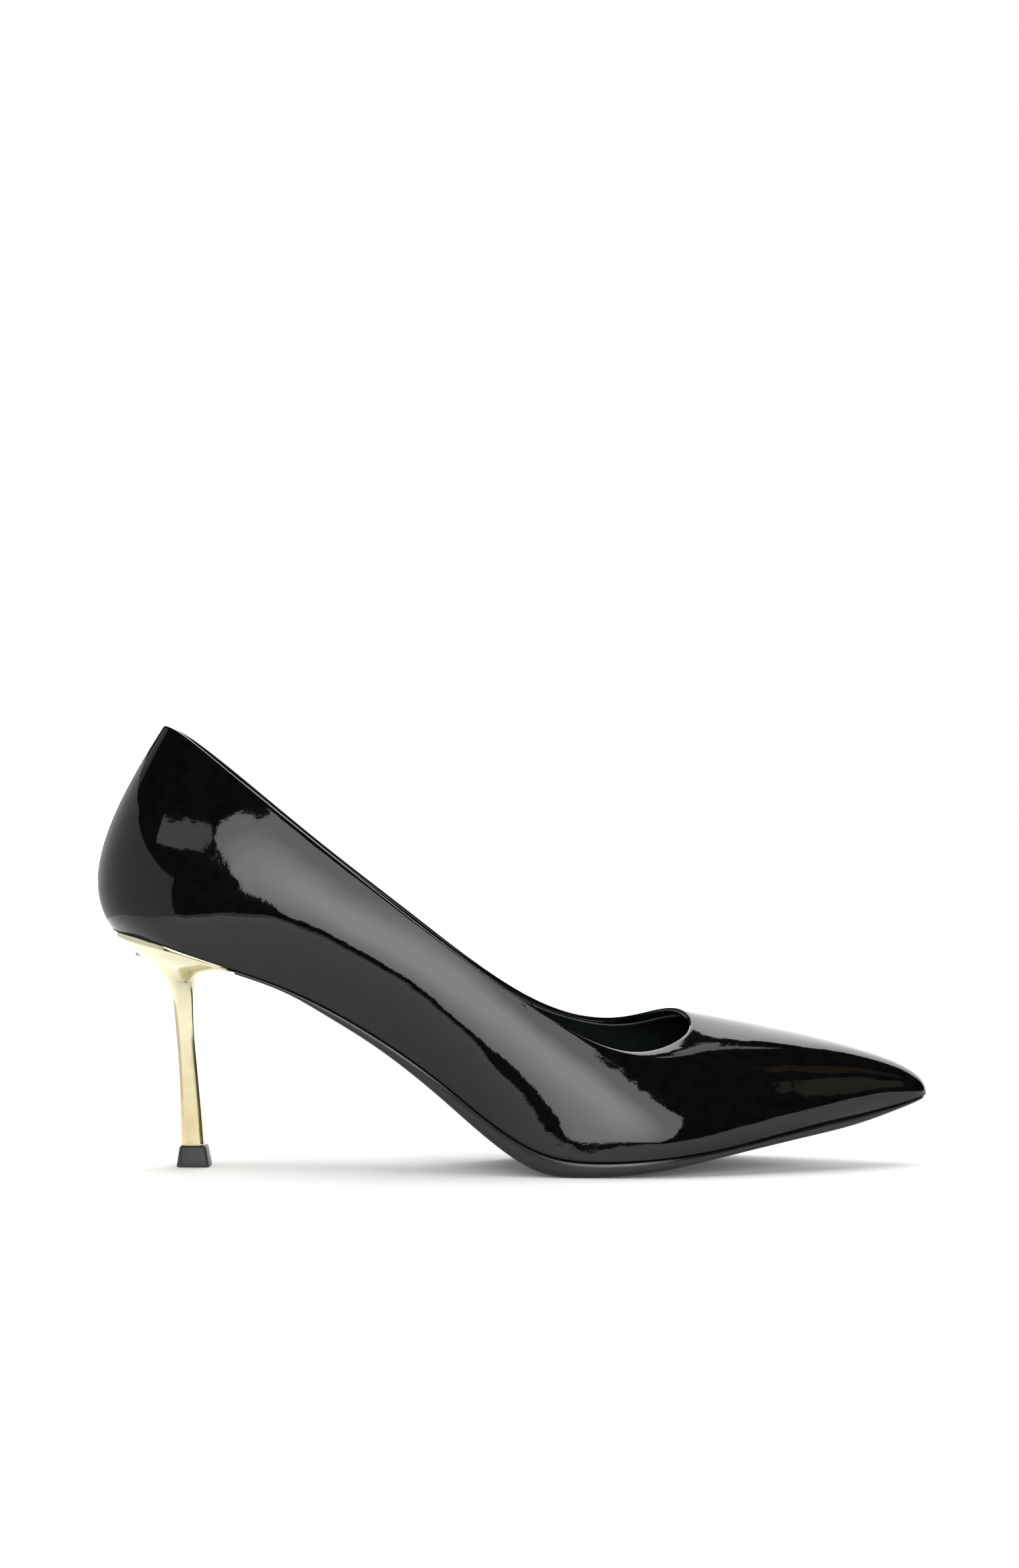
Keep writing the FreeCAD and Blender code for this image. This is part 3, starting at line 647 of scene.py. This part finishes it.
def glow_material(name, stops, centre, reach, strength=1.0, matte=None):
    """Light given off, shaded from a centre outwards; stops are (share of reach, colour)."""
    material = bpy.data.materials.new(name)
    material.use_nodes = True
    nodes, links = material.node_tree.nodes, material.node_tree.links
    nodes.clear()
    out = nodes.new("ShaderNodeOutputMaterial")
    place = nodes.new("ShaderNodeTexCoord")
    away = nodes.new("ShaderNodeVectorMath")
    away.operation = "DISTANCE"
    away.inputs[1].default_value = centre
    links.new(place.outputs["Object"], away.inputs[0])
    share = nodes.new("ShaderNodeMath")
    share.operation = "DIVIDE"
    share.inputs[1].default_value = reach
    links.new(away.outputs["Value"], share.inputs[0])
    ramp = add_ramp(nodes, links, share.outputs[0], stops)
    glow = nodes.new("ShaderNodeEmission")
    glow.inputs["Strength"].default_value = strength
    links.new(ramp.outputs["Color"], glow.inputs["Color"])
    links.new(glow.outputs[0], out.inputs["Surface"])
    if matte is not None:
        both = nodes.new("ShaderNodeAddShader")
        paper = nodes.new("ShaderNodeBsdfDiffuse")
        paper.inputs["Color"].default_value = (matte, matte, matte, 1)
        links.new(glow.outputs[0], both.inputs[0])
        links.new(paper.outputs[0], both.inputs[1])
        links.new(both.outputs[0], out.inputs["Surface"])
    return material


def build_stage():
    """A white table that glows by itself as painted light, dim near the shoe and full white beyond a metre; a
    duller strip of cloth hangs along its front edge, between the shoe and the camera, with a dim warm painted glow
    of its own.
    """
    def level_card(name, half_width, front, back, material):
        corners = [(-half_width, front), (half_width, front), (half_width, back), (-half_width, back)]
        plane(name, [(x, y, JUST_BELOW_GROUND) for x, y in corners], material)

    dim, bright = (0.06,) * 3, (1.02,) * 3
    # Painted glow: the table gives off its own light, 0.06 near the shoe and rising to 1.02 at 1.1 m, standing in
    # for light on the far table.
    white = glow_material("table_painted_glow", ((0.3, dim), (1.0, bright)), (0, 0, 0), 1.1, matte=0.95)
    level_card("floor", 2.5, TABLE_FRONT, 3.5, white)
    # Painted glow: the cloth strip gives off a dim warm light of its own.
    tint = (0.3, 0.28, 0.25)
    dull_cloth_glow = glow_material("cloth_edge_painted_glow", ((0.0, tint), (1.0, tint)), (0, 0, 0), 1.0, matte=0.4)
    level_card("front_strip", 0.6, TABLE_FRONT - 0.17, TABLE_FRONT, dull_cloth_glow)


def soft_box(name, location, target, size, radiance):
    """Rectangular light facing a target; an area light's radiance is a quarter of its power per area."""
    light = bpy.data.lights.new(name, "AREA")
    light.shape = "RECTANGLE"
    light.size, light.size_y = size
    light.energy = 4 * radiance * size[0] * size[1]
    lamp = bpy.data.objects.new(name, light)
    lamp.location = location
    lamp.rotation_mode = "QUATERNION"
    lamp.rotation_quaternion = (Vector(target) - Vector(location)).to_track_quat("-Z", "Y")
    lamp.visible_camera = False
    bpy.context.scene.collection.objects.link(lamp)
    return lamp


def toward(origin, azimuth, elevation, distance):
    """A point in a direction seen from an origin; azimuth is from the camera's side towards the toe."""
    across, up = math.radians(azimuth), math.radians(elevation)
    flat = distance * math.cos(up)
    return Vector(origin) + Vector((flat * math.sin(across), -flat * math.cos(across), distance * math.sin(up)))


def glow_card(name, corners, radiance, colour=(1, 1, 1)):
    """Lit card seen only in reflections and by what it lights, slightly brighter in its middle."""
    fade = 0.15
    centre = sum((Vector(c) for c in corners), Vector()) / len(corners)
    reach = max((Vector(c) - centre).length for c in corners)
    stops = ((0.0, colour), (1.0, tuple(c * (1 - fade) for c in colour)))
    card = plane(name, corners, glow_material(name, stops, centre, reach, strength=radiance))
    card.visible_camera = False
    return card


def facing_card(name, origin, distance, directions, radiance, colour=(1, 1, 1)):
    """Lit card whose corners lie in given (azimuth, elevation) directions from an origin."""
    return glow_card(name, [toward(origin, a, e, distance) for a, e in directions], radiance, colour)


def build_light():
    """Dark room with a white backdrop, a front panel, side cards and an overhead soft box."""
    world = bpy.data.worlds.new("studio")
    bpy.context.scene.world = world
    world.use_nodes = True
    nodes, links = world.node_tree.nodes, world.node_tree.links
    nodes.clear()
    out = nodes.new("ShaderNodeOutputWorld")
    mix = nodes.new("ShaderNodeMixShader")
    path = nodes.new("ShaderNodeLightPath")
    room = nodes.new("ShaderNodeBackground")
    room.inputs["Color"].default_value = (0.012, 0.012, 0.013, 1)
    paper = nodes.new("ShaderNodeBackground")
    paper.inputs["Color"].default_value = (1, 1, 1, 1)
    links.new(path.outputs["Is Camera Ray"], mix.inputs[0])
    links.new(room.outputs[0], mix.inputs[1])
    links.new(paper.outputs[0], mix.inputs[2])
    links.new(mix.outputs[0], out.inputs[0])

    cloth = glow_material("panel_cloth", ((0.15, (1, 1, 1)), (0.75, (0.5,) * 3)), (0.08, PANEL_Y, 0.42), 0.7,
                          strength=6.6)
    outline = [(-0.26, 0.03), (-0.27, 0.3), (-0.33, 0.55), (-0.36, 0.72), (-0.33, 0.84), (-0.2, 0.91), (0.0, 0.97),
               (0.13, 1.07), (0.2, 1.2), (0.41, 1.2), (0.46, 0.97), (0.62, 0.92), (0.75, 0.8), (0.84, 0.64),
               (0.82, 0.5), (0.68, 0.15), (0.5, 0.03)]
    panel = plane("front_panel", [(x, PANEL_Y, z) for x, z in outline], cloth)
    panel.visible_camera = False
    heel, vamp, toe = (-0.09, -0.02, 0.09), (0.055, -0.01, 0.045), (0.095, -0.01, 0.03)
    side = [(-0.55, 0.0), (0.4, 0.0), (0.4, 0.2), (-0.55, 0.22)]
    glow_card("left_wall", [(WALL_X, y, z) for y, z in side], 0.78)
    glow_card("back_left", [(-0.9, 1.2, 0.0), (-1.7, 0.6, 0.0), (-1.7, 0.6, 1.0), (-0.9, 1.2, 1.0)], 0.3)
    soft_box("back_wall", (0.75, 1.2, 0.75), (0.75, 0, 0.75), (2.3, 1.5), 2.1)
    facing_card("left_lamp", heel, 1.2, [(-13, 22), (-13, 29), (-30, 33.5), (-41, 36), (-37, 29), (-20, 25)], 1.5)
    facing_card("high_lamp", vamp, 1.4, [(149, 55), (149, 57.7), (158, 57.7), (170, 55.5), (170, 51.5), (161, 52),
                                         (157, 55)], 1.2)
    facing_card("right_brown", toe, 1.5, [(71, 50), (75, 59), (90, 64.5), (88, 50), (94, 38), (84, 38)], 0.22,
                (1, 0.68, 0.38))
    facing_card("right_low", toe, 1.5, [(52.8, 35), (60, 47), (65, 44), (66, 32), (75, 29), (70, 16), (58, 11),
                                        (53.5, 22)], 0.36, (1, 0.88, 0.68))
    top = soft_box("overhead", (0, 0.1, 1.3), (0, 0.1, 0), (1.3, 1.3), 2.4)
    top.visible_glossy = False


def build_camera():
    """Level camera at heel height, about a metre away, on the outer side of the shoe."""
    distance, height, side = 1.075, 0.114, -0.001
    view_height = 0.4685
    data = bpy.data.cameras.new("camera")
    data.sensor_width = 36
    data.lens = data.sensor_width * distance / view_height
    camera = bpy.data.objects.new("camera", data)
    camera.location = (side, -distance, height)
    camera.rotation_euler = (math.pi / 2, 0, 0)
    bpy.context.scene.collection.objects.link(camera)
    bpy.context.scene.camera = camera


def main():
    build_upper()
    build_lining("lining_back", -38, 38, "heel_grip")
    build_lining("lining_outer_side", 38.3, 112, "quarter_lining_lateral")
    build_lining("lining_vamp", 112.3, 247.7, "vamp_lining")
    build_lining("lining_inner_side", 248, 321.7, "quarter_lining_medial")
    build_insock()
    build_outsole()
    build_heel()
    build_top_lift()
    dress_hidden()
    build_stage()
    build_light()
    build_camera()
    bpy.context.scene.view_settings.view_transform = "Standard"


main()
